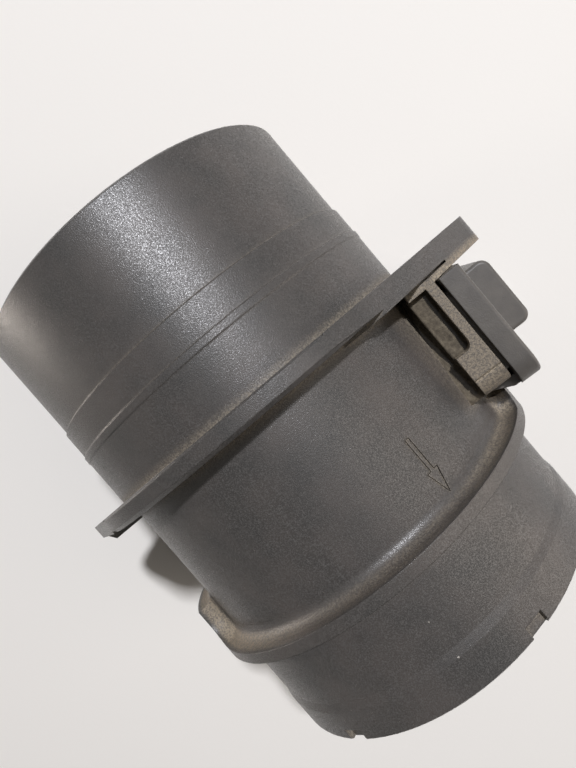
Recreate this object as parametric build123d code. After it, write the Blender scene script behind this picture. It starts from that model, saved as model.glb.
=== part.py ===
from build123d import *
import math
import os

# Mass airflow sensor: a moulded flow tube with a two-eared flange, and a plug-in hot-film sensor screwed to its side.
#
# Frame: X runs along the flow, inlet towards -X and outlet towards +X; Y points at the plug-in sensor; Z is up.
# The origin is on the flow axis, on the flange face that seats on the air box. All sizes are in millimetres.
# Angles around the tube are counted from +Z towards +Y.

# ------------------------------------------------------------------ flow tube, outside
inlet_x = -41.9                     # inlet rim
step_x = -18.9                      # step between the inlet spigot and the part that sits in the air box
band_x0, band_x1 = -12.7, -10.9     # narrow raised band
collar_x0, collar_x1 = 37.8, 40.3   # hose-stop collar
ramp_x0, ramp_x1 = 55.4, 57.3       # hose-retaining ramp of the outlet spigot
outlet_x = 64.5                     # outlet rim

inlet_r = 40.3
mid_r = 40.75
band_r = 41.05
root_r = 40.9                       # between the band and the flange
body_r = 39.9                       # between the flange and the collar
collar_r = 44.4
outlet_neck_r = 40.6
outlet_r = 41.0
step_run = 0.25                     # length over which a moulded step changes radius
rim_break = 0.5

# lands: stretches of the collar wall that stand nearer to the flange
far_land_x0 = 29.6
far_land_from, far_land_to = -120.0, -60.0
near_land_x0 = 33.9
near_land_from, near_land_to = 77.0, 103.0
far_corner_r, near_corner_r = 4.5, 3.0
collar_foot_r = 2.6                 # concave foot of the collar wall

pocket_count = 6                    # mould-core pockets in the outlet rim
pocket_first = 30.0
pocket_w, pocket_len, pocket_depth = 4.4, 2.8, 1.2

# ------------------------------------------------------------------ bore
grid_seat_r = 37.7
grid_stop_x = -30.0
lead_in_r = 36.9
lead_in_x1 = -14.0
throat_r = 35.5
throat_x0, throat_x1 = 2.0, 38.0
diffuser_len = 12.0
outlet_bore_r = 38.0
bore_break = 0.6

# ------------------------------------------------------------------ flange
flange_r = 46.5
flange_t = 3.7
flange_break = 0.4
flange_back_break = 0.8             # broken edge on the outlet side
web_y = 25.0                        # beyond this the flange thickens towards the ear beside the sensor
web_t0, web_t1 = 3.0, 4.6
ear_tip_y = 60.0
ear_end_r = 5.8
ear_t_near, ear_t_far = 6.4, 3.6    # ear beside the sensor, and the opposite ear
ear_rib_x = 5.9                     # two ribs stiffen the opposite ear
ear_rib_tip_y = 56.0
ear_rib_pitch, ear_rib_w = 10.4, 1.8
sleeve_r, sleeve_bore_r = 3.7, 2.75
gap_w, gap_depth = 0.5, 1.3         # shadow gap between the flange and the end wall of the seat
gap_end_y = 50.0

# ------------------------------------------------------------------ sensor seat, moulded on the tube
seat_x1 = 30.6
seat_foot_y = 39.2                  # underside of the solid end and of the end wall
seat_y0, seat_y1 = 43.2, 45.2
seat_half_z = 20.0
seat_corner_r = 4.0
end_wall_t = 1.2
hole_x0, hole_x1 = 9.6, 28.6        # stepped hole for the plug
hole_half_z = 7.5
hole_corner_r = 4.0
neck_wall = 2.6
neck_foot_y = 27.0
fill_x0 = 20.6                      # the outlet end of the seat is solid from here on
recess_r = 1.7                      # rounded end of the recess under the platform
notch_x, notch_w = 26.4, 0.9        # small upright notch beside the corner block
boss_r = 3.7
screw_places = ((27.0, 13.6), (12.2, -13.2))   # x and z of the two fixing screws

# ------------------------------------------------------------------ plug-in sensor
plug_clear = 0.3
plate_x0, plate_x1 = 6.5, 33.1
plate_gap = 1.0
plate_t = 4.45
plate_half_z = 20.0
plate_corner_r = 5.0
plate_edge_r = 0.7
pad_inset = 2.6
lip_clear = 0.2                     # lip under the plate that laps over the end of the platform
lip_y0, lip_y1 = 40.4, 45.0
lip_half_z = 15.0
neck_y0 = 36.6
blade_inset, blade_tail = 1.0, 1.2  # blade inside the two ends of the hole
blade_half_z = 6.0
blade_tip_y = -10.0
oring_y = 40.6
oring_d = 1.8
screw_head_r, screw_head_h = 3.5, 2.4
screw_sink = 2.2                    # depth of the head below the plate
screw_r = 1.95
screw_tip_y = 39.9
screw_clear = 0.02                  # thread flank against the moulded hole
drive_across = 2.6

# ------------------------------------------------------------------ connector shroud
shroud_x0, shroud_x1 = 11.5, 31.2
shroud_y0, shroud_y1 = 47.4, 61.9
shroud_back_z, shroud_mouth_z = -17.0, -44.6
shroud_wall = 1.7
socket_depth = 18.0
shroud_outer_r, shroud_inner_r = 2.6, 1.6
shroud_back_r = 1.0
latch_w, latch_rise, latch_len = 6.0, 1.4, 4.4
pin_count = 4
pin_pitch = 3.0
pin_w, pin_t = 1.2, 0.64
pin_y = 54.6
pin_leg_y = 48.0                    # where the terminals turn down through the plate
pin_recess = 3.6                    # terminal tips below the mouth

# ------------------------------------------------------------------ inside the blade
lid_t = 1.2
lid_ledge = 0.8
lid_clear = 0.1
chamber_wall = 1.8                  # at the inlet side; the outlet side is a lid ledge thinner
chamber_y0, chamber_y1 = 13.2, 35.0
chamber_floor_z = -0.9
bypass_x0, bypass_x1 = 13.4, 23.6
bypass_y0, bypass_y1 = -6.8, 9.2
bypass_floor_z = -3.0
bypass_w = 4.6
slot_x0, slot_x1 = 16.9, 21.1       # passage of the element carrier
board_t = 0.8
carrier_t = 0.7
probe_x, probe_y = 14.2, 20.0
probe_drop = 5.0
bead_r, bead_len = 1.3, 2.6
lead_r, lead_pitch = 0.25, 1.6

# ------------------------------------------------------------------ flow straightener
grid_clear = 0.1
grid_x0 = -38.6
grid_ring_w = 1.5
cell_flat = 6.4
cell_wall = 0.8

# ------------------------------------------------------------------ worked-out places
gap_x0 = web_t1
gap_x1 = web_t1 + gap_w
blade_x0, blade_x1 = hole_x0 + blade_inset, hole_x1 - blade_tail
chamber_x0, chamber_x1 = blade_x0 + chamber_wall, blade_x1 - chamber_wall + 0.6
bolt_y = ear_tip_y - ear_end_r
plate_y0 = seat_y1 + plate_gap
plate_y1 = plate_y0 + plate_t
lid_z0 = blade_half_z - lid_t
board_top_z = chamber_floor_z + board_t
shroud_mid_x = (shroud_x0 + shroud_x1) / 2
shroud_mid_y = (shroud_y0 + shroud_y1) / 2
ON_BASE = (Align.CENTER, Align.CENTER, Align.MIN)


def box(x0, x1, y0, y1, z0, z1):
    return Pos((x0 + x1) / 2, (y0 + y1) / 2, (z0 + z1) / 2) * Box(x1 - x0, y1 - y0, z1 - z0)


def drum(x0, x1, r, y=0.0):
    """Round bar along X."""
    return Pos(x0, y, 0) * Rot(0, 90, 0) * Cylinder(r, x1 - x0, align=ON_BASE)


def ring(x0, x1, r_out, r_in, y=0.0):
    return drum(x0, x1, r_out, y) - drum(x0 - 1, x1 + 1, r_in, y)


def post(x, z, r, y0, y1):
    """Round bar along Y."""
    return Pos(x, y0, z) * Rot(-90, 0, 0) * Cylinder(r, y1 - y0, align=ON_BASE)


def slab(x0, x1, half_z, corner_r, y0, y1):
    """Block with rounded plan corners, centred on Z and standing along Y."""
    plan = Plane.XZ * Pos((x0 + x1) / 2, 0) * RectangleRounded(x1 - x0, 2 * half_z, corner_r)
    return Pos(0, y0, 0) * extrude(plan, amount=y0 - y1)


def turned(points):
    """Solid turned about the flow axis from (x, radius) corners."""
    return revolve(make_face(Polyline(*[(x, r, 0) for x, r in points], close=True)), Axis.X, 360)


def sector(x0, x1, a0, a1, reach=70.0):
    """Wedge of tube angles between two stations."""
    steps = max(1, math.ceil((a1 - a0) / 40.0))
    rim = [math.radians(a0 + (a1 - a0) * i / steps) for i in range(steps + 1)]
    corners = [(x0, 0, 0)] + [(x0, reach * math.sin(a), reach * math.cos(a)) for a in rim]
    return extrude(make_face(Polyline(*corners, close=True)), amount=x1 - x0, dir=(1, 0, 0))


# ---------------------------------------------------------------- flow tube
def tray_edges(shape, at_foot):
    """Concave edges between body and collar wall: the foot line, or the corners of the lands in plan."""
    found = []
    for e in shape.edges():
        ends = [e @ 0, e @ 0.5, e @ 1]
        radii = [math.hypot(p.Y, p.Z) for p in ends]
        if not far_land_x0 - 0.1 < ends[1].X < collar_x0 + 0.1:
            continue
        foot = all(abs(r - body_r) < 0.02 for r in radii)
        corner = all(abs(p.X - collar_x0) < 0.01 for p in ends) and abs(radii[0] - radii[2]) > 3
        if (foot if at_foot else corner):
            found.append(e)
    return found


def tube_outside():
    """Outside of the tube with its web and collar; the collar wall is faired into the body."""
    shape = turned([
        (inlet_x, 0), (inlet_x, inlet_r - rim_break), (inlet_x + rim_break, inlet_r), (step_x, inlet_r),
        (step_x + step_run, mid_r), (band_x0, mid_r), (band_x0 + step_run, band_r), (band_x1 - step_run, band_r),
        (band_x1, root_r), (0, root_r), (0, flange_r - flange_break), (flange_break, flange_r),
        (flange_t - flange_back_break, flange_r), (flange_t, flange_r - flange_back_break), (flange_t, body_r),
        (collar_x1, body_r), (collar_x1, outlet_neck_r), (ramp_x0, outlet_neck_r),
        (ramp_x1, outlet_r), (outlet_x - rim_break, outlet_r), (outlet_x, outlet_r - rim_break), (outlet_x, 0)])
    shape += ring(collar_x0, collar_x1, collar_r, body_r - 1)
    for x0, a0, a1 in ((far_land_x0, far_land_from, far_land_to), (near_land_x0, near_land_from, near_land_to)):
        shape += ring(x0, collar_x1, collar_r, body_r - 1) & sector(x0 - 1, collar_x1 + 1, a0, a1)
    shape = fillet([e for e in tray_edges(shape, False) if (e @ 0).Y < 0], far_corner_r)
    shape = fillet([e for e in tray_edges(shape, False) if (e @ 0).Y > 0], near_corner_r)
    return fillet(tray_edges(shape, True), collar_foot_r)


def ear(side, thick, inset=0.0):
    """Flange ear: its round end runs by straight flanks into the flange circle."""
    r, end_r = flange_r - inset, ear_end_r - inset
    a = math.acos((r - end_r) / bolt_y)
    root = (r * math.cos(a), r * math.sin(a))
    end = (bolt_y + end_r * math.cos(a), end_r * math.sin(a))
    upper = [(root[0] / 2, root[1]), root, end]
    outline = upper + [(y, -z) for y, z in reversed(upper)]
    flanks = extrude(make_face(Polyline(*[(0, y * side, z) for y, z in outline], close=True)),
                     amount=thick, dir=(1, 0, 0))
    return flanks + drum(0, thick, end_r, side * bolt_y)


def far_ear_ribs():
    profile = make_face(Polyline(
        (2, -body_r + 2, 0), (ear_rib_x, -body_r + 2, 0), (ear_rib_x, -ear_rib_tip_y + 2.2, 0),
        (ear_t_far - 0.5, -ear_rib_tip_y, 0), (2, -ear_rib_tip_y, 0), close=True))
    rib = extrude(profile, amount=ear_rib_w / 2, both=True)
    return [Pos(0, 0, s * ear_rib_pitch / 2) * rib for s in (-1, 1)]


def flange_web():
    """The flange grows thicker towards the ear beside the sensor."""
    wedge = make_face(Polyline((0, web_y, 0), (web_t0, web_y, 0), (web_t1, flange_r, 0), (0, flange_r, 0), close=True))
    return drum(0, web_t1 + 1, flange_r) & extrude(wedge, amount=flange_r, both=True)


def near_ear():
    """Ear beside the sensor; the end wall of the seat lies behind its flanks, past a narrow shadow gap."""
    wide = seat_half_z + 1
    thick = ear(1, ear_t_near) & box(gap_x0 - 1, ear_t_near, seat_foot_y, ear_tip_y, -seat_half_z, seat_half_z)
    beside = box(gap_x0, gap_x1, seat_foot_y - 1, gap_end_y, -wide, wide) - ear(1, ear_t_near, gap_depth)
    return ear(1, gap_x0) + (thick - beside)


def sensor_seat():
    """Platform, neck and solid end that carry the plug-in sensor, with a recess under the platform."""
    shape = slab(gap_x1, seat_x1, seat_half_z, seat_corner_r, seat_foot_y, seat_y1)
    shape += box(gap_x1, gap_x1 + seat_corner_r, seat_foot_y, seat_y1, -seat_half_z, seat_half_z)
    recess = box(gap_x1 + end_wall_t, fill_x0, seat_foot_y - 1, seat_y0, -seat_half_z - 1, seat_half_z + 1)
    shape -= fillet(recess.edges().filter_by(Axis.Z).group_by(Axis.Y)[-1].sort_by(Axis.X)[-1], recess_r)
    half = notch_w / 2
    notch = make_face(Polyline((notch_x - half, 0, seat_half_z + 0.1), (notch_x, 0, seat_half_z - half),
                               (notch_x + half, 0, seat_half_z + 0.1), close=True))
    notch = Pos(0, seat_foot_y - 1, 0) * extrude(notch, amount=seat_y1 + 2 - seat_foot_y, dir=(0, 1, 0))
    shape -= [notch, notch.mirror(Plane.XY)]
    shape += box(hole_x0 - neck_wall, seat_x1 - 1.2, neck_foot_y, seat_y1 - 0.4,
                 -hole_half_z - neck_wall, hole_half_z + neck_wall)
    x, z = screw_places[1]
    return shape + post(x, z, boss_r, 30.0, seat_y1 - 0.3)


def bore():
    return turned([
        (inlet_x - 1, 0), (inlet_x - 1, grid_seat_r + bore_break), (inlet_x, grid_seat_r + bore_break),
        (inlet_x + bore_break, grid_seat_r), (grid_stop_x, grid_seat_r), (grid_stop_x, lead_in_r),
        (lead_in_x1, lead_in_r), (throat_x0, throat_r), (throat_x1, throat_r),
        (throat_x1 + diffuser_len, outlet_bore_r), (outlet_x - bore_break, outlet_bore_r),
        (outlet_x, outlet_bore_r + bore_break), (outlet_x + 1, outlet_bore_r + bore_break), (outlet_x + 1, 0)])


def flow_tube():
    shape = tube_outside() + flange_web() + near_ear() + ear(-1, ear_t_far) + far_ear_ribs()
    shape += sensor_seat()
    shape -= bore()
    shape -= slab(hole_x0, hole_x1, hole_half_z, hole_corner_r, 20.0, seat_y1 + 1)
    for x, z in screw_places:
        shape -= post(x, z, screw_r + screw_clear, screw_tip_y - 0.4, seat_y1 + 1)
    for s in (-1, 1):
        shape -= drum(-1, ear_t_near + 1, sleeve_r, s * bolt_y)
    pocket = box(outlet_x - pocket_len, outlet_x + 1, -pocket_w / 2, pocket_w / 2,
                 outlet_r - pocket_depth, outlet_r + 2)
    for i in range(pocket_count):
        shape -= Rot(-(pocket_first + i * 360.0 / pocket_count), 0, 0) * pocket
    return shape


# ---------------------------------------------------------------- plug-in sensor body
def plate():
    """Mounting plate of the plug: square beside the ear, rounded at the outlet end, with a pad and an end lip."""
    plan = Plane.XZ * Pos((plate_x0 + plate_x1) / 2, 0) * Rectangle(plate_x1 - plate_x0, 2 * plate_half_z)
    shape = Pos(0, plate_y0, 0) * extrude(plan, amount=-plate_t)
    shape = fillet(shape.edges().filter_by(Axis.Y).sort_by(Axis.X)[2:], plate_corner_r)
    shape = fillet(shape.faces().sort_by(Axis.Y)[-1].edges().sort_by(Axis.X)[1:], plate_edge_r)
    lip = make_face(Polyline((seat_x1 + lip_clear, plate_y0 + 1, 0), (seat_x1 + lip_clear, lip_y0, 0),
                             (plate_x1 - 0.1, lip_y1, 0), (plate_x1 - 0.1, plate_y0 + 1, 0), close=True))
    shape += extrude(lip, amount=lip_half_z, both=True)
    return shape + slab(plate_x0 + pad_inset, seat_x1 - pad_inset / 2, plate_half_z - pad_inset,
                        plate_corner_r - pad_inset, seat_y1, plate_y0 + 0.1)


def neck():
    """Neck that fits the stepped hole, with the seal's groove around it."""
    c = plug_clear
    body = slab(hole_x0 + c, hole_x1 - c, hole_half_z - c, hole_corner_r - c, neck_y0, seat_y1 + 0.1)
    d = oring_d
    core = slab(hole_x0 + d, hole_x1 - d, hole_half_z - d, hole_corner_r - d, oring_y - 1.1, oring_y + 1.1)
    around = slab(hole_x0 - 1, hole_x1 + 1, hole_half_z + 1, hole_corner_r, oring_y - 1.0, oring_y + 1.0)
    return body - (around - core)


def blade():
    """Blade that reaches into the flow; its leading edge is narrowed in two steps."""
    top = neck_y0 + 1
    shape = box(blade_x0 + 2.4, blade_x1, blade_tip_y, top, -blade_half_z, blade_half_z)
    shape += box(blade_x0 + 1.2, blade_x0 + 2.6, blade_tip_y, top, -blade_half_z + 1.6, blade_half_z - 1.6)
    return shape + box(blade_x0, blade_x0 + 2.6, blade_tip_y, top, -blade_half_z + 3.4, blade_half_z - 3.4)


def shroud():
    """Connector shroud with its latch nose; the socket is cut later."""
    shape = box(shroud_x0, shroud_x1, shroud_y0, shroud_y1, shroud_mouth_z, shroud_back_z)
    shape = fillet(shape.edges().filter_by(Axis.Z).sort_by(Axis.Y)[2:], shroud_outer_r)
    shape = fillet(shape.edges().filter_by(Axis.Z).sort_by(Axis.Y)[:2], shroud_inner_r)
    shape = fillet(shape.faces().sort_by(Axis.Z)[-1].edges(), shroud_back_r)
    latch_z = shroud_mouth_z + 4.0
    nose = make_face(Polyline(
        (shroud_mid_x, shroud_y1 - 0.2, latch_z), (shroud_mid_x, shroud_y1 + latch_rise, latch_z + latch_len - 1),
        (shroud_mid_x, shroud_y1 + latch_rise, latch_z + latch_len), (shroud_mid_x, shroud_y1 - 0.2,
                                                                    latch_z + latch_len), close=True))
    shape += extrude(nose, amount=latch_w / 2, both=True)
    for x, w in ((-4.8, 1.9), (1.4, 1.2)):      # shallow sink and gate marks in the back
        x += shroud_mid_x
        shape -= box(x - w, x + w, shroud_mid_y - 0.9, shroud_mid_y + 0.9, shroud_back_z - 0.35, shroud_back_z + 1)
    bridge = box(shroud_x0 + 1, shroud_x1 - 1, plate_y0 + 0.4, shroud_y0 + 1.2,
                 -plate_half_z + 0.2, shroud_back_z - 0.8)
    return shape + bridge


def socket():
    cavity = RectangleRounded(shroud_x1 - shroud_x0 - 2 * shroud_wall, shroud_y1 - shroud_y0 - 2 * shroud_wall, 1.2)
    return extrude(Plane.XY.offset(shroud_mouth_z - 1) * Pos(shroud_mid_x, shroud_mid_y) * cavity,
                   amount=socket_depth + 1)


def bypass_channel():
    """Sampling channel: in at the leading edge, round the turn, past the element and out through the side."""
    z = (bypass_floor_z, lid_z0)
    cut = box(blade_x0 - 1, bypass_x1, bypass_y0, bypass_y0 + bypass_w, *z)
    cut += box(bypass_x1 - bypass_w, bypass_x1, bypass_y0, bypass_y1, *z)
    cut += box(bypass_x0, bypass_x1, bypass_y1 - bypass_w, bypass_y1, *z)
    return cut + box(bypass_x0, bypass_x0 + 2.4, bypass_y1 - bypass_w, bypass_y1, -blade_half_z - 1, z[0] + 1)


def lid_outline(x0, x1, y0, y1, grow, z1):
    return box(x0 - grow, x1 + grow, y0 - grow, y1 + grow, lid_z0, z1)


CHAMBER = (chamber_x0, chamber_x1, chamber_y0, chamber_y1)
BYPASS = (bypass_x0, bypass_x1, bypass_y0, bypass_y1)


def terminal(i):
    """One terminal: blade in the socket, jog into the plate, leg down the neck, foot at the board."""
    x = shroud_mid_x + (i - (pin_count - 1) / 2) * pin_pitch
    x0, x1, h = x - pin_w / 2, x + pin_w / 2, pin_t / 2
    jog_z, leg_z = -21.0, 0.22
    pin = box(x0, x1, pin_y - h, pin_y + h, shroud_mouth_z + pin_recess, jog_z)
    pin = chamfer(pin.edges().filter_by(Axis.X).sort_by(Axis.Z)[:2], 0.2)
    pin += box(x0, x1, pin_leg_y - h, pin_y + h, jog_z - pin_t, jog_z)
    pin += box(x0, x1, pin_leg_y - h, pin_leg_y + h, jog_z - pin_t, leg_z + h)
    return pin + box(x0, x1, chamber_y1 - 3.6, pin_leg_y + h, leg_z - h, leg_z + h)


def temperature_leads():
    bead_z = -blade_half_z - probe_drop
    lead = Cylinder(lead_r, probe_drop + 2.0, align=ON_BASE)
    return [Pos(probe_x, probe_y + s * lead_pitch / 2, bead_z + 0.2) * lead for s in (-1, 1)]


def temperature_bead():
    bead = Pos(probe_x, probe_y, -blade_half_z - probe_drop) * Cylinder(bead_r, bead_len)
    return chamfer(bead.edges(), 0.5) - temperature_leads()


def sensor_body():
    shape = plate() + neck() + blade() + shroud()
    shape -= socket()
    for x, z in screw_places:
        shape -= post(x, z, screw_r + 0.25, seat_y1 - 1, plate_y1 + 1)
        shape -= post(x, z, screw_head_r + 0.3, plate_y1 - screw_sink, plate_y1 + 1)
    open_z = blade_half_z + 1
    shape -= box(*CHAMBER, chamber_floor_z, open_z)
    shape -= lid_outline(*CHAMBER, lid_ledge, open_z)
    shape -= bypass_channel()
    shape -= lid_outline(*BYPASS, lid_ledge, open_z)
    shape -= box(slot_x0, slot_x1, bypass_y1 - 0.6, chamber_y0 + 1, chamber_floor_z, lid_z0)
    for i in range(pin_count):
        shape -= terminal(i)
    return shape - temperature_leads()


# ---------------------------------------------------------------- small parts
def seal_ring():
    """Seal squeezed between the groove of the neck and the wall of the hole."""
    e, d = 0.02, oring_d
    y0, y1 = oring_y - d / 2, oring_y + d / 2
    shape = slab(hole_x0 + e, hole_x1 - e, hole_half_z - e, hole_corner_r - e, y0, y1)
    shape = chamfer(shape.faces().sort_by(Axis.Y)[-1].edges() + shape.faces().sort_by(Axis.Y)[0].edges(), 0.5)
    return shape - slab(hole_x0 + d - e, hole_x1 - d + e, hole_half_z - d + e, hole_corner_r - d + e, y0 - 1, y1 + 1)


def plate_screw(x, z):
    """Pan-head screw with a six-sided drive recess."""
    y0 = plate_y1 - screw_sink
    head = post(x, z, screw_head_r, y0, y0 + screw_head_h)
    head = chamfer(head.faces().sort_by(Axis.Y)[-1].edges(), 0.6)
    drive = extrude(Plane.XZ * Pos(x, z) * RegularPolygon(drive_across / 2, 6, major_radius=False), amount=-3)
    return head + post(x, z, screw_r, screw_tip_y, y0 + 0.1) - Pos(0, y0 + 0.9, 0) * drive


def ear_sleeve(side, thick):
    return ring(0, thick, sleeve_r, sleeve_bore_r, side * bolt_y)


def flow_straightener():
    """Honeycomb pressed into the inlet bore up to its stop; only whole cells are open."""
    r = grid_seat_r - grid_clear
    pitch = cell_flat + cell_wall
    cell = RegularPolygon(cell_flat / 2, 6, major_radius=False, rotation=30)
    reach = r - grid_ring_w - cell_flat / math.sqrt(3.0) + 0.2
    rows = int(r / pitch) + 2
    places = []
    for i in range(-rows, rows + 1):
        for j in range(-rows, rows + 1):
            u, v = pitch * (i + j / 2), pitch * j * math.sqrt(3.0) / 2
            if math.hypot(u, v) < reach:
                places.append((u, v))
    plane = Plane.YZ.offset(grid_x0)
    disc = plane * Circle(r) - [plane * Pos(u, v) * cell for u, v in places]
    return extrude(disc, amount=grid_stop_x - grid_x0)


nodes = {
    "flow_tube": flow_tube(),
    "flow_straightener": flow_straightener(),
    "sensor_body": sensor_body(),
    "electronics_lid": lid_outline(*CHAMBER, lid_ledge - lid_clear, blade_half_z),
    "bypass_lid": lid_outline(*BYPASS, lid_ledge - lid_clear, blade_half_z),
    "seal_ring": seal_ring(),
    "circuit_board": box(chamber_x0 + 0.3, chamber_x1 - 0.3, chamber_y0 + 0.4, chamber_y1 - 0.6,
                         chamber_floor_z, board_top_z),
    "processor": box(14.4, 19.4, 24.0, 29.0, board_top_z, board_top_z + 1.1),
    "capacitor_1": box(21.6, 23.6, 25.6, 26.9, board_top_z, board_top_z + 1.2),
    "capacitor_2": box(21.6, 23.6, 22.4, 23.7, board_top_z, board_top_z + 1.2),
    "element_carrier": box(slot_x0 + lid_clear, slot_x1 - lid_clear, bypass_y1 - 4.4, chamber_y0 + 4.3,
                           board_top_z, board_top_z + carrier_t),
    "sensing_element": box(17.8, 20.2, bypass_y1 - 4.0, bypass_y1 - 1.2,
                           board_top_z + carrier_t, board_top_z + carrier_t + 0.4),
    "temperature_bead": temperature_bead(),
    "temperature_leads": Compound(children=temperature_leads()),
    "plate_screw_1": plate_screw(*screw_places[0]),
    "plate_screw_2": plate_screw(*screw_places[1]),
    "ear_sleeve_1": ear_sleeve(1, ear_t_near),
    "ear_sleeve_2": ear_sleeve(-1, ear_t_far),
}
for i in range(pin_count):
    nodes["terminal_%d" % (i + 1)] = terminal(i)

os.makedirs("parts", exist_ok=True)
for name, shape in nodes.items():
    export_step(shape, "parts/%s.step" % name)
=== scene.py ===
# %% [markdown]
# # A mass airflow sensor
# The part is a moulded plastic tube that sits between an engine's air box and its intake hose, with a small
# plug-in sensor screwed to its side. The solids come from the CAD frame, in metres. This file gives them their
# finishes, adds the small moulded marks that are too fine for the solids, and sets up the floor, lamps and camera.

# %% Load the frame
import math

import bmesh
import bpy
from mathutils import Euler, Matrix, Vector, noise


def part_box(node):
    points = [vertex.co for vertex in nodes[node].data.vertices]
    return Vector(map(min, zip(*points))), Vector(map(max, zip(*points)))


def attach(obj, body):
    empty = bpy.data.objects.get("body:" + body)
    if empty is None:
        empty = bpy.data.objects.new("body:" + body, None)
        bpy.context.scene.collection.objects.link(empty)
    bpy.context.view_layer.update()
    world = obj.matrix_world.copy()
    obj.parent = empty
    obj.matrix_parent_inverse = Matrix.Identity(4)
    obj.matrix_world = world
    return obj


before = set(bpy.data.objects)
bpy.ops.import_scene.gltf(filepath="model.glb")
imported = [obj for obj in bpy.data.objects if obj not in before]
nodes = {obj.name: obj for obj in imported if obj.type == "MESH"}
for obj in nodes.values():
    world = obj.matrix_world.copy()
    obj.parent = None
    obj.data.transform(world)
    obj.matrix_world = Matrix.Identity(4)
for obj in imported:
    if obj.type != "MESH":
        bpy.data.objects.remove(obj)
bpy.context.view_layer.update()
MM = 0.001
print("pieces in the frame:", len(nodes))

# %% [markdown]
# ## Sizes read from the frame
# A mark has to stay on the wall that carries it, so the few sizes of the tube that marks and dust depend on are
# kept in one place, and the floor is taken from the lowest point of the tube.

# %% Sizes
tube_low, tube_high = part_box("flow_tube")
FLOOR_Z = tube_low.z
BODY_R = 39.9 * MM          # tube wall between flange and collar
COLLAR_R = 44.4 * MM
LAND_X = 29.0 * MM          # where the nearest stretch of the collar wall begins
COLLAR_X = 40.3 * MM        # outlet side of the collar
SEAT_Y = 38.6 * MM          # the sensor seat stands outside this
SEAT_START_X = 5.0 * MM     # the seat runs from just behind the flange
SEAT_END_X = 31.0 * MM      # to here, near the collar
print("the part stands on", round(FLOOR_Z / MM, 1), "mm")

# %% [markdown]
# ## Colours and nodes
# Colours are written as sRGB hex, as a paint chart gives them, and turned to the linear values that the shaders
# work in. One small function adds a node, sets its inputs and links what is given as a socket. It is the only
# helper for nodes, so every graph below can be read as a list of the nodes that it holds.


# %% Helpers for materials
def colour(hex_code):
    """Linear RGBA from an sRGB hex code."""
    channels = [int(hex_code[i:i + 2], 16) / 255 for i in (1, 3, 5)]
    return [c / 12.92 if c <= 0.04045 else ((c + 0.055) / 1.055) ** 2.4 for c in channels] + [1.0]


def add(tree, kind, inputs=None, **settings):
    """Add a node; inputs are values or sockets by name or number, settings are the node's own properties."""
    node = tree.nodes.new(kind)
    for name, value in settings.items():
        setattr(node, name, value)
    for key, value in (inputs or {}).items():
        if isinstance(value, bpy.types.NodeSocket):
            tree.links.new(value, node.inputs[key])
        else:
            node.inputs[key].default_value = value
    return node


def new_material(name):
    """Empty node material, its tree, and the object's own coordinates."""
    material = bpy.data.materials.new(name)
    material.use_nodes = True
    tree = material.node_tree
    tree.nodes.clear()
    return material, tree, add(tree, "ShaderNodeTexCoord").outputs["Object"]


def dress(material, *names):
    """Give a material to CAD pieces."""
    for name in names:
        nodes[name].data.materials.clear()
        nodes[name].data.materials.append(material)
    print(material.name, "on", ", ".join(names))


# %% [markdown]
# ## Moulded housing
# The tube is glass-filled PBT, a polyester, moulded black in a spark-eroded steel tool. Spark erosion leaves a
# fine satin grain: tiny facets that glint in the light, with no two alike. The real grain is about a tenth of a
# millimetre and would vanish at this size of picture, so it is drawn at about a quarter of a millimetre, as bump,
# as a change of gloss and as slightly rubbed tips.
#
# In an engine bay a thin grey film settles on everything and stays, and loose brown dust, palest where it lies
# deepest, gathers where a cloth can't reach: at the foot of the collar wall, on the lands beside it and all over
# the sensor seat. The film is a part of the base colour. The dust could be painted by hand, but a rule keeps its
# place when the shape changes, so it is laid by two things: how closed-in a point is, read by the Ambient
# Occlusion node, and where it is on the tube. Past the collar, where the hose is pushed on, there are a few pale
# flecks and rubs.

# %% Housing plastic
GRAIN = 0.22 * MM
GRAIN_DEPTH = 0.042 * MM
GLINT = 0.25 * MM           # rubbed facets, scattered
CLOUD = 11.0 * MM           # wiped and unwiped patches of the film
DUST_PATCH = 0.5 * MM       # crumbs of dust
DUST_REACH = 2.6 * MM       # how far a point looks about for walls
DUST_MOST = 0.85            # plastic always shows through a little
FLECK_CELL = 2.6 * MM       # at most one fleck in each cell of this size
FLECK_RARE = 0.90           # the share of cells that stay empty
PBT_IOR = 1.57


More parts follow.
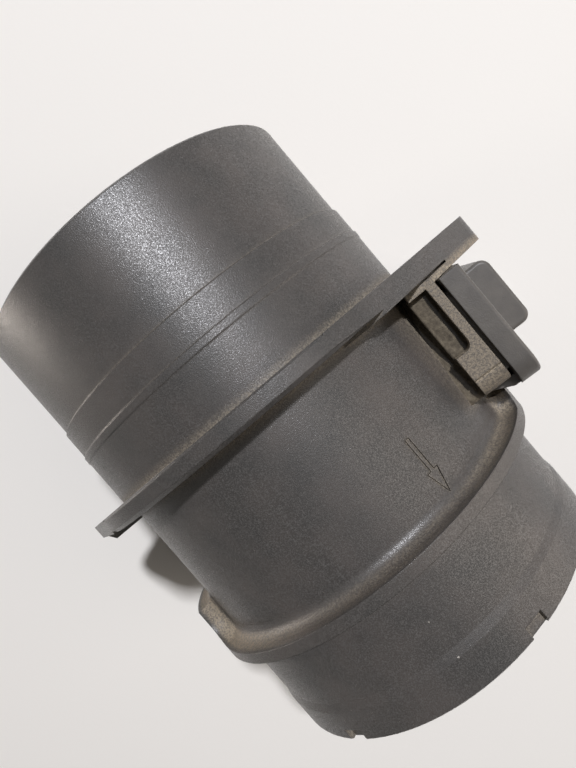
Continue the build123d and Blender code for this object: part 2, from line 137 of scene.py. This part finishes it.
def housing_plastic():
    material, tree, place = new_material("pbt_eroded_black")
    axes = add(tree, "ShaderNodeSeparateXYZ", {0: place}).outputs
    grain = add(tree, "ShaderNodeTexNoise", {"Vector": place, "Scale": 1 / GRAIN, "Detail": 2.0,
                                             "Roughness": 0.65}).outputs["Fac"]
    cloud = add(tree, "ShaderNodeTexNoise", {"Vector": place, "Scale": 1 / CLOUD, "Detail": 3.0,
                                             "Roughness": 0.55}).outputs["Fac"]
    speck = add(tree, "ShaderNodeTexNoise", {"Vector": place, "Scale": 1 / DUST_PATCH, "Detail": 4.0,
                                             "Roughness": 0.75}).outputs["Fac"]
    # how closed-in the point is
    open_sky = add(tree, "ShaderNodeAmbientOcclusion", {"Distance": DUST_REACH}, samples=8).outputs["AO"]
    closed_in = add(tree, "ShaderNodeMapRange", {"Value": open_sky, "From Min": 0.97, "From Max": 0.55},
                    interpolation_type="SMOOTHSTEP").outputs["Result"]
    # everything that stands proud of the tube wall beside the collar, up to its crest, most of it at the sides
    out = add(tree, "ShaderNodeCombineXYZ", {"Y": axes["Y"], "Z": axes["Z"]}).outputs[0]
    reach = add(tree, "ShaderNodeVectorMath", {0: out}, operation="LENGTH").outputs["Value"]
    foot = add(tree, "ShaderNodeMapRange", {"Value": reach, "From Min": BODY_R + 0.1 * MM,
                                            "From Max": BODY_R + 1.0 * MM},
               interpolation_type="SMOOTHSTEP").outputs["Result"]
    crest = add(tree, "ShaderNodeMapRange", {"Value": reach, "From Min": COLLAR_R - 1.4 * MM,
                                             "From Max": COLLAR_R - 0.2 * MM, "To Min": 1.0, "To Max": 0.08},
                interpolation_type="SMOOTHSTEP").outputs["Result"]
    far = add(tree, "ShaderNodeMapRange", {"Value": axes["Y"], "From Min": -10 * MM, "From Max": -32 * MM,
                                           "To Min": 0.2, "To Max": 1.0}).outputs["Result"]
    near = add(tree, "ShaderNodeMapRange", {"Value": axes["Y"], "From Min": 24 * MM, "From Max": 38 * MM,
                                            "To Max": 0.45}).outputs["Result"]
    side = add(tree, "ShaderNodeMath", {0: far, 1: near}, operation="ADD").outputs[0]
    by_collar = add(tree, "ShaderNodeMath", {0: axes["X"], 1: LAND_X - MM}, operation="GREATER_THAN").outputs[0]
    before_rim = add(tree, "ShaderNodeMath", {0: axes["X"], 1: COLLAR_X}, operation="LESS_THAN").outputs[0]
    collar_dust = foot
    for limit in (crest, side, by_collar, before_rim):
        collar_dust = add(tree, "ShaderNodeMath", {0: collar_dust, 1: limit}, operation="MULTIPLY").outputs[0]
    # the seat, thinning out on the wall beside it
    past_body = add(tree, "ShaderNodeMapRange", {"Value": axes["Y"], "From Min": SEAT_Y - 5 * MM,
                                                 "From Max": SEAT_Y + MM, "To Max": 0.8}).outputs["Result"]
    past_flange = add(tree, "ShaderNodeMapRange", {"Value": axes["X"], "From Min": SEAT_START_X - 0.6 * MM,
                                                   "From Max": SEAT_START_X + 0.6 * MM}).outputs["Result"]
    seat_end = add(tree, "ShaderNodeMapRange", {"Value": axes["X"], "From Min": SEAT_END_X + 1.5 * MM,
                                                "From Max": SEAT_END_X - 0.5 * MM}).outputs["Result"]
    seat_dust = past_body
    for limit in (past_flange, seat_end):
        seat_dust = add(tree, "ShaderNodeMath", {0: seat_dust, 1: limit}, operation="MULTIPLY").outputs[0]
    # corners everywhere, then the collar, then the seat, all of it crumbly
    dust = add(tree, "ShaderNodeMath", {0: closed_in, 1: 0.3, 2: collar_dust}, operation="MULTIPLY_ADD").outputs[0]
    dust = add(tree, "ShaderNodeMath", {0: dust, 1: seat_dust}, operation="MAXIMUM").outputs[0]
    patchy = add(tree, "ShaderNodeMapRange", {"Value": speck, "From Min": 0.40, "From Max": 0.60, "To Min": 0.30},
                 interpolation_type="SMOOTHSTEP").outputs["Result"]
    dust = add(tree, "ShaderNodeMath", {0: dust, 1: patchy}, operation="MULTIPLY").outputs[0]
    dust = add(tree, "ShaderNodeMath", {0: dust, 1: DUST_MOST}, operation="MINIMUM").outputs[0]
    # flecks: a few cells of a scattered pattern, past the collar only
    cell = add(tree, "ShaderNodeTexVoronoi", {"Vector": place, "Scale": 1 / FLECK_CELL}).outputs
    lot = add(tree, "ShaderNodeSeparateColor", {0: cell["Color"]}).outputs["Red"]
    size = add(tree, "ShaderNodeMapRange", {"Value": lot, "From Min": FLECK_RARE, "From Max": 1.0,
                                            "To Min": -0.1, "To Max": 0.12}).outputs["Result"]
    ragged = add(tree, "ShaderNodeMath", {0: speck, 1: 0.35, 2: cell["Distance"]},
                 operation="MULTIPLY_ADD").outputs[0]
    ragged = add(tree, "ShaderNodeMath", {0: ragged, 1: 0.175}, operation="SUBTRACT").outputs[0]
    fleck = add(tree, "ShaderNodeMath", {0: ragged, 1: size}, operation="LESS_THAN").outputs[0]
    past_collar = add(tree, "ShaderNodeMath", {0: axes["X"], 1: COLLAR_X + 1.5 * MM},
                      operation="GREATER_THAN").outputs[0]
    fleck = add(tree, "ShaderNodeMath", {0: fleck, 1: past_collar}, operation="MULTIPLY").outputs[0]
    # colour: plastic under a thin film, rubbed tips, dust, flecks
    film = add(tree, "ShaderNodeMapRange", {"Value": cloud, "From Min": 0.34, "From Max": 0.70}).outputs["Result"]
    plastic = add(tree, "ShaderNodeMix", {"Factor": film, 6: colour("#2f2e2d"), 7: colour("#443f3c")},
                  data_type="RGBA").outputs[2]
    glint = add(tree, "ShaderNodeTexNoise", {"Vector": place, "Scale": 1 / GLINT, "Detail": 1.0}).outputs["Fac"]
    tips = add(tree, "ShaderNodeMapRange", {"Value": glint, "From Min": 0.42, "From Max": 0.72,
                                            "To Max": 0.75}).outputs["Result"]
    plastic = add(tree, "ShaderNodeMix", {"Factor": tips, 6: plastic, 7: colour("#5f5d5b")},
                  data_type="RGBA").outputs[2]
    deep = add(tree, "ShaderNodeMix", {"Factor": closed_in, 6: colour("#958977"), 7: colour("#b9ab94")},
               data_type="RGBA").outputs[2]
    dusted = add(tree, "ShaderNodeMix", {"Factor": dust, 6: plastic, 7: deep},
                 data_type="RGBA").outputs[2]
    dusted = add(tree, "ShaderNodeMix", {"Factor": fleck, 6: dusted, 7: colour("#a49f97")},
                 data_type="RGBA").outputs[2]
    gloss = add(tree, "ShaderNodeMapRange", {"Value": glint, "From Min": 0.35, "From Max": 0.65, "To Min": 0.50,
                                             "To Max": 0.24}).outputs["Result"]
    gloss = add(tree, "ShaderNodeMath", {0: dust, 1: 0.5, 2: gloss}, operation="MULTIPLY_ADD").outputs[0]
    worn = add(tree, "ShaderNodeBevel", {"Radius": 0.3 * MM}, samples=4).outputs["Normal"]
    bump = add(tree, "ShaderNodeBump", {"Height": grain, "Distance": GRAIN_DEPTH, "Normal": worn}).outputs["Normal"]
    shader = add(tree, "ShaderNodeBsdfPrincipled", {"Base Color": dusted, "Roughness": gloss, "Normal": bump,
                                                    "IOR": PBT_IOR})
    add(tree, "ShaderNodeOutputMaterial", {"Surface": shader.outputs[0]})
    return material


# gives a satin black that is dusty in its corners and rubbed bright on its grain
dress(housing_plastic(), "flow_tube")

# %% [markdown]
# ## Plug plastic
# The plug and its two lids are the same plastic from another tool, whose grain is finer and a little duller.
# It is newer than the tube's film of dirt, so it is plainer: one colour with faint cloudy marks, and soft edges.
#
# The same recipe, with other numbers, suits every plain surface that is a little uneven in tone and gloss, so it is
# written once and used for the small parts too: a grain for the bump and the gloss, and a cloud for the tone. Real
# moulded, fired and plated skins are finer than a picture of this size can show, so each grain is drawn at a tenth
# to half a millimetre, only as coarse as it needs to be.


# %% Plain mottled finish
def mottled(name, dark, light, grain_size, depth, low, high, cloud_size, edge=0.3, ior=1.5, metallic=0.0):
    """Two close tones and a roughness from low to high; grain, depth, cloud and worn edge are in mm."""
    material, tree, place = new_material(name)
    grain = add(tree, "ShaderNodeTexNoise", {"Vector": place, "Scale": 1 / (grain_size * MM), "Detail": 2.0,
                                             "Roughness": 0.65}).outputs["Fac"]
    cloud = add(tree, "ShaderNodeTexNoise", {"Vector": place, "Scale": 1 / (cloud_size * MM), "Detail": 3.0,
                                             "Roughness": 0.6}).outputs["Fac"]
    spread = add(tree, "ShaderNodeMapRange", {"Value": cloud, "From Min": 0.3, "From Max": 0.7}).outputs["Result"]
    tone = add(tree, "ShaderNodeMix", {"Factor": spread, 6: colour(dark), 7: colour(light)},
               data_type="RGBA").outputs[2]
    gloss = add(tree, "ShaderNodeMapRange", {"Value": grain, "From Min": 0.3, "From Max": 0.7, "To Min": high,
                                             "To Max": low}).outputs["Result"]
    worn = add(tree, "ShaderNodeBevel", {"Radius": edge * MM}, samples=4).outputs["Normal"]
    bump = add(tree, "ShaderNodeBump", {"Height": grain, "Distance": depth * MM, "Normal": worn}).outputs["Normal"]
    shader = add(tree, "ShaderNodeBsdfPrincipled", {"Base Color": tone, "Roughness": gloss, "Normal": bump,
                                                    "IOR": ior, "Metallic": metallic})
    add(tree, "ShaderNodeOutputMaterial", {"Surface": shader.outputs[0]})
    return material


# gives soft light along the edges of the plug and a fine glint on its flats
dress(mottled("pbt_eroded_plug", "#4e4b48", "#5f5b56", 0.28, 0.045, 0.34, 0.52, 6.0, ior=PBT_IOR),
      "sensor_body", "electronics_lid", "bypass_lid")

# %% [markdown]
# ## Flow arrow
# A raised outline arrow on top of the tube shows which way the air goes. On the real part it is cut into the
# mould, so it stands up a third of a millimetre. It is drawn flat, raised, and then laid on the round wall. It
# starts a little below the skin, so there's no gap under it. Marks are cut after the mould is eroded, so they have
# no grain, and the arrow is also coloured darker than the wall.
#
# Known fault: the inset should give the outline its width, but the new face has no normal yet, so the inset moves
# nothing. Merging doubles then leaves one thin upright sheet round the outline, 14 faces with 14 open edges, and
# not a closed frame. Calling normal_update on the bmesh before the inset should mend it.

# %% Flow arrow
ARROW_X = (23.8 * MM, 31.0 * MM, 36.0 * MM)     # tail, shoulder, point: towards the outlet
ARROW_TURN = math.radians(36)                   # from straight up, towards the sensor
ARROW_SHAFT = 0.45 * MM                         # half widths
ARROW_HEAD = 1.35 * MM
ARROW_LINE = 0.31 * MM                          # meant width of the line: has no effect yet, see above
ARROW_SUNK = 0.06 * MM
ARROW_HIGH = 0.30 * MM
ARROW_BREAK = 0.04 * MM

# gives a dark, slightly shiny outline
smooth_mark = mottled("pbt_polished_mark", "#1c1b1b", "#262423", 0.5, 0.004, 0.26, 0.36, 2.0, edge=0.05,
                      ior=PBT_IOR)


def flow_arrow():
    tail, shoulder, point = ARROW_X
    outline = [(tail, -ARROW_SHAFT), (shoulder, -ARROW_SHAFT), (shoulder, -ARROW_HEAD), (point, 0),
               (shoulder, ARROW_HEAD), (shoulder, ARROW_SHAFT), (tail, ARROW_SHAFT)]
    form = bmesh.new()
    face = form.faces.new([form.verts.new((x, y, 0)) for x, y in outline])
    bmesh.ops.inset_region(form, faces=[face], thickness=ARROW_LINE, use_even_offset=True, use_boundary=True)
    bmesh.ops.delete(form, geom=[face], context="FACES")
    raised = bmesh.ops.extrude_face_region(form, geom=form.faces[:], use_keep_orig=True)["geom"]
    top = [item for item in raised if isinstance(item, bmesh.types.BMVert)]
    bmesh.ops.translate(form, verts=top, vec=(0, 0, ARROW_SUNK + ARROW_HIGH))
    upper = set(top)
    rims = [edge for edge in form.edges if edge.verts[0] in upper and edge.verts[1] in upper
            and edge.calc_face_angle(0) > 1]
    bmesh.ops.bevel(form, geom=rims, offset=ARROW_BREAK, offset_type="OFFSET", segments=1, profile=0.5,
                    affect="EDGES", material=-1)
    for vert in form.verts:
        turn = ARROW_TURN + vert.co.y / BODY_R
        radius = BODY_R - ARROW_SUNK + vert.co.z
        vert.co = (vert.co.x, radius * math.sin(turn), radius * math.cos(turn))
    bmesh.ops.remove_doubles(form, verts=form.verts, dist=0.001 * MM)
    bmesh.ops.recalc_face_normals(form, faces=form.faces)
    print("arrow faces:", len(form.faces), "open edges:", sum(not edge.is_manifold for edge in form.edges),
          "volume mm3:", round(form.calc_volume(signed=True) / MM ** 3, 2))
    mesh = bpy.data.meshes.new("flow_arrow")
    form.to_mesh(mesh)
    form.free()
    mesh.materials.append(smooth_mark)
    arrow = bpy.data.objects.new("flow_arrow", mesh)
    bpy.context.scene.collection.objects.link(arrow)
    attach(arrow, "root")


flow_arrow()

# %% [markdown]
# ## Packed dust
# Road dust has packed into the two places by the sensor seat that can't be wiped: the pocket in the seat block, and
# the wedge between the block's underside and the round wall. Colour alone can't fill a gap, and a particle or
# sculpted fill would be far more than such small heaps need. Each is a finely cut block whose hidden sides sink
# into the plastic, whose lower side follows what it lies on, and whose open top is roughened by a fixed noise. Its
# colour is darker than the loose dust on the tube: partly dust, and partly painted shade for the shaded pocket.

# %% Packed dust
POCKET_X = (6.0 * MM, 20.9 * MM)
WEDGE_X = (5.2 * MM, 30.3 * MM)
BLOCK_Y = 39.2 * MM         # underside of the seat block
PLATE_Y = 45.1 * MM         # top of the pocket, under the plug's plate
DUST_BOTTOM_Z = 11.0 * MM
POCKET_TOP_Z = 17.8 * MM
WEDGE_TOP_Z = 17.2 * MM
WEDGE_FALL = 5.5 * MM       # the wedge is shallower by this beside the flange
FALL_CURVE = 1.5
HEAP_CUTS = 15
HEAP_ROUGH = 0.35 * MM
HEAP_LUMP = 1.4 * MM
WALL_SINK = 0.5 * MM        # how far a heap goes into the round wall
BLOCK_SINK = 0.3 * MM       # and into the block


def heap(x_range, y_top, z_top, follow_wall, fall):
    """A block of dust, lower by the fall beside the flange, lying on the round wall or flat in the block."""
    form = bmesh.new()
    bmesh.ops.create_cube(form, size=1.0)
    bmesh.ops.subdivide_edges(form, edges=form.edges[:], cuts=HEAP_CUTS, use_grid_fill=True)
    for vert in form.verts:
        across, up, high = vert.co.x + 0.5, vert.co.y + 0.5, vert.co.z + 0.5
        z = DUST_BOTTOM_Z + high * (z_top - fall * (1 - across) ** FALL_CURVE - DUST_BOTTOM_Z)
        low = math.sqrt((BODY_R - WALL_SINK) ** 2 - z * z) if follow_wall else BLOCK_Y - BLOCK_SINK
        x = x_range[0] + across * (x_range[1] - x_range[0])
        y = low + up * (y_top - low)
        if high > 0.99:     # the open top only
            z += HEAP_ROUGH * noise.noise(Vector((x, y, z)) / HEAP_LUMP)
        vert.co = (x, y, z)
    print("dust points:", len(form.verts), "open edges:", sum(not edge.is_manifold for edge in form.edges))
    return form


def packed_dust():
    mesh = bpy.data.meshes.new("packed_dust")
    form = heap(POCKET_X, PLATE_Y, POCKET_TOP_Z, False, 0.0)
    form.to_mesh(mesh)
    form.free()
    form = heap(WEDGE_X, BLOCK_Y + BLOCK_SINK, WEDGE_TOP_Z, True, WEDGE_FALL)
    form.from_mesh(mesh)
    bmesh.ops.recalc_face_normals(form, faces=form.faces)
    for face in form.faces:
        face.smooth = True
    form.to_mesh(mesh)
    form.free()
    # gives a dull, crumbly, brown fill, darker than loose dust: painted shade for the shaded pocket
    mesh.materials.append(mottled("road_dust_and_painted_shade", "#4a4339", "#716859", 0.35, 0.10, 0.85, 0.95, 0.9, edge=0.1))
    dust = bpy.data.objects.new("packed_dust", mesh)
    bpy.context.scene.collection.objects.link(dust)
    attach(dust, "root")


packed_dust()

# %% [markdown]
# ## Honeycomb
# The flow straightener is pressed in from the inlet. It is unfilled nylon from a polished tool, so its thin walls
# are smoother and a little glossier than the tube, and darker, as no film has settled on them.

# %% Honeycomb plastic
# gives thin bright lines where the cell walls turn to the light
dress(mottled("nylon_honeycomb", "#1f1f20", "#2a2a2b", 0.5, 0.006, 0.30, 0.40, 4.0, edge=0.15, ior=1.53),
      "flow_straightener")

# %% [markdown]
# ## Seal and electronics
# These are hidden until the plug is pulled or its lid is off, and still need to look right in a cut-away. The
# O-ring is nitrile rubber: matt, with a faint bloom. The board is alumina, a near-white fired ceramic. The chip is
# moulded in black epoxy with a fine matt texture, and the capacitors are tan fired ceramic. The element is a
# polished silicon chip on a pale glass-filled carrier. The temperature bead is a glass drop, brown and smooth.

# %% Seal and electronics
# gives a dull soft roll of light round the ring
dress(mottled("nitrile_rubber", "#17181a", "#232426", 0.25, 0.010, 0.55, 0.70, 2.0, edge=0.1, ior=1.52), "seal_ring")
# gives a pale, even, slightly chalky board
dress(mottled("alumina_board", "#cbc8bf", "#dcd9d1", 0.20, 0.004, 0.42, 0.55, 3.0, edge=0.05, ior=1.76),
      "circuit_board")
# gives a flat charcoal block
dress(mottled("moulded_epoxy", "#1b1b1c", "#262627", 0.12, 0.004, 0.45, 0.58, 1.5, edge=0.05, ior=1.55), "processor")
# gives small warm blocks against the pale board
dress(mottled("capacitor_ceramic", "#8a6f52", "#a08463", 0.15, 0.003, 0.30, 0.42, 0.8, edge=0.04, ior=1.6),
      "capacitor_1", "capacitor_2")
# gives a slim grey-green card under the element
dress(mottled("carrier_laminate", "#5a6152", "#6b7262", 0.18, 0.004, 0.38, 0.50, 1.5, edge=0.05, ior=1.55),
      "element_carrier")
# gives a dark mirror with a blue cast
dress(mottled("polished_silicon", "#3a3f4a", "#4a505e", 0.40, 0.0005, 0.10, 0.18, 0.9, edge=0.02, ior=3.5),
      "sensing_element")
# gives a wet brown drop
dress(mottled("bead_glass_brown", "#4e2f18", "#6a4324", 0.50, 0.004, 0.12, 0.22, 0.8, edge=0.2, ior=1.52),
      "temperature_bead")

# %% [markdown]
# ## Metal parts
# The screws and the sleeves in the ears are steel with a bright zinc coat, which is a little uneven where it was
# tumbled. The pins in the plug are tinned brass, smoother and warmer. The bead hangs on drawn nickel wire.

# %% Metal parts
# gives a grey, cloudy shine on heads and sleeves
dress(mottled("zinc_plated_steel", "#8f9093", "#adaeb0", 0.22, 0.004, 0.26, 0.42, 1.6, edge=0.08, metallic=1.0),
      "plate_screw_1", "plate_screw_2", "ear_sleeve_1", "ear_sleeve_2")
# gives warm silver blades inside the plug
dress(mottled("tinned_brass", "#a8a294", "#bdb8ab", 0.30, 0.002, 0.18, 0.30, 1.2, edge=0.05, metallic=1.0),
      "terminal_1", "terminal_2", "terminal_3", "terminal_4")
# gives two thin bright wires
dress(mottled("nickel_wire", "#9b978f", "#b0aca4", 0.30, 0.002, 0.22, 0.34, 1.0, edge=0.03, metallic=1.0),
      "temperature_leads")

# %% [markdown]
# ## Table
# A plain pale table, one large flat sheet with a paper-like tooth, is all the set that the part needs. It passes
# through the lowest point of the tube.

# %% Table
TABLE = colour("#f1eee8")
TABLE_HALF = 3.0            # metres
TOOTH = 1.2 * MM
TOOTH_DEPTH = 0.02 * MM


def table():
    mesh = bpy.data.meshes.new("table_top")
    form = bmesh.new()
    bmesh.ops.create_grid(form, x_segments=1, y_segments=1, size=TABLE_HALF)
    bmesh.ops.translate(form, verts=form.verts, vec=(0, 0, FLOOR_Z))
    form.to_mesh(mesh)
    form.free()
    top = bpy.data.objects.new("table_top", mesh)
    bpy.context.scene.collection.objects.link(top)
    material, tree, place = new_material("pale_table")
    fleck = add(tree, "ShaderNodeTexNoise", {"Vector": place, "Scale": 1 / TOOTH}).outputs["Fac"]
    bump = add(tree, "ShaderNodeBump", {"Height": fleck, "Distance": TOOTH_DEPTH}).outputs["Normal"]
    shader = add(tree, "ShaderNodeBsdfPrincipled", {"Base Color": TABLE, "Roughness": 0.8, "Normal": bump})
    add(tree, "ShaderNodeOutputMaterial", {"Surface": shader.outputs[0]})
    mesh.materials.append(material)
    print("table", 2 * TABLE_HALF, "m wide")


table()

# %% [markdown]
# ## Lamps and sky
# One small lamp high on the inlet side throws sharp shadows: the flange's on the tube and the ear's on the table. A
# wider lamp, a little nearer to overhead, gives the gleam along the tube, so the small one gives none. Weak wide
# lamps low down at the sides light the turned-away flanks without lighting the table. The sky is dim as light, or
# it would wash the shadows out, and bright to look at, so that the backdrop suits the table.


# %% Lamps
def lamp(name, towards, distance, width, power, tint):
    """Square soft lamp, aimed at the tube from a direction."""
    light = bpy.data.lights.new(name, "AREA")
    light.size = width
    light.energy = power
    light.color = colour(tint)[:3]
    thing = bpy.data.objects.new(name, light)
    way = Vector(towards).normalized()
    thing.location = way * distance
    thing.rotation_euler = way.to_track_quat("Z", "Y").to_euler()
    bpy.context.scene.collection.objects.link(thing)
    return thing


# each: direction from the tube, metres away, metres wide, watts, tint
lamp("main_softbox", (-0.36, 0.52, 0.78), 2.2, 0.13, 53.0, "#f8f9ff").visible_glossy = False
lamp("gleam", (-0.36, 0.35, 0.87), 2.2, 0.32, 39.0, "#f8f9ff").visible_diffuse = False
lamp("low_right", (0.489, 0.847, 0.208), 1.2, 0.55, 1.9, "#fff1e2")
lamp("low_left", (-0.499, -0.864, 0.075), 1.2, 0.28, 4.4, "#fff3e8")
lamp("high_right", (0.372, 0.644, 0.669), 1.2, 0.60, 2.1, "#fff4e8")

# %% Sky
SKY_DIM = 0.02              # as light on matt surfaces
SKY_SEEN = 0.93             # added to it for the camera and through glass
SKY_MIRRORED = 0.38         # added to it in gloss: a real room is darker overhead, where most of a gleam looks


def pale_room():
    """Dim light from all round; bright where it is seen, to match the table, and less so where it is mirrored."""
    world = bpy.data.worlds.new("pale_room")
    world.use_nodes = True
    bpy.context.scene.world = world
    tree = world.node_tree
    tree.nodes.clear()
    path = add(tree, "ShaderNodeLightPath")
    level = add(tree, "ShaderNodeMath", {0: path.outputs["Is Camera Ray"], 1: SKY_SEEN, 2: SKY_DIM},
                operation="MULTIPLY_ADD").outputs[0]
    level = add(tree, "ShaderNodeMath", {0: path.outputs["Is Transmission Ray"], 1: SKY_SEEN, 2: level},
                operation="MULTIPLY_ADD").outputs[0]
    level = add(tree, "ShaderNodeMath", {0: path.outputs["Is Glossy Ray"], 1: SKY_MIRRORED, 2: level},
                operation="MULTIPLY_ADD").outputs[0]
    sky = add(tree, "ShaderNodeBackground", {"Color": TABLE, "Strength": level}).outputs[0]
    add(tree, "ShaderNodeOutputWorld", {"Surface": sky})


pale_room()
print("sky as light:", SKY_DIM, "and to look at:", SKY_DIM + SKY_SEEN)

# %% [markdown]
# ## Camera
# The part is seen from close above, with the inlet turned up and away, as it would be picked up from a bench. A
# short lens this near makes the inlet swell towards the viewer, so the place, the turn and the lens belong together.

# %% Camera
CAMERA_PLACE = (-0.03 * MM, 35.22 * MM, 122.82 * MM)
CAMERA_TURN = (-10.122, 8.978, 48.927)      # degrees about X, Y, Z
CAMERA_LENS = 24.293                        # on a 36 mm tall sensor


def camera():
    lens = bpy.data.cameras.new("camera")
    lens.sensor_fit = "VERTICAL"
    lens.sensor_height = 36.0
    lens.lens = CAMERA_LENS
    lens.clip_start = 0.005
    thing = bpy.data.objects.new("camera", lens)
    thing.location = CAMERA_PLACE
    thing.rotation_euler = Euler([math.radians(a) for a in CAMERA_TURN], "XYZ")
    bpy.context.scene.collection.objects.link(thing)
    bpy.context.scene.camera = thing


camera()
bpy.context.scene.view_settings.view_transform = "Standard"
print("camera", round(Vector(CAMERA_PLACE).length / MM), "mm away, lens", CAMERA_LENS, "mm")
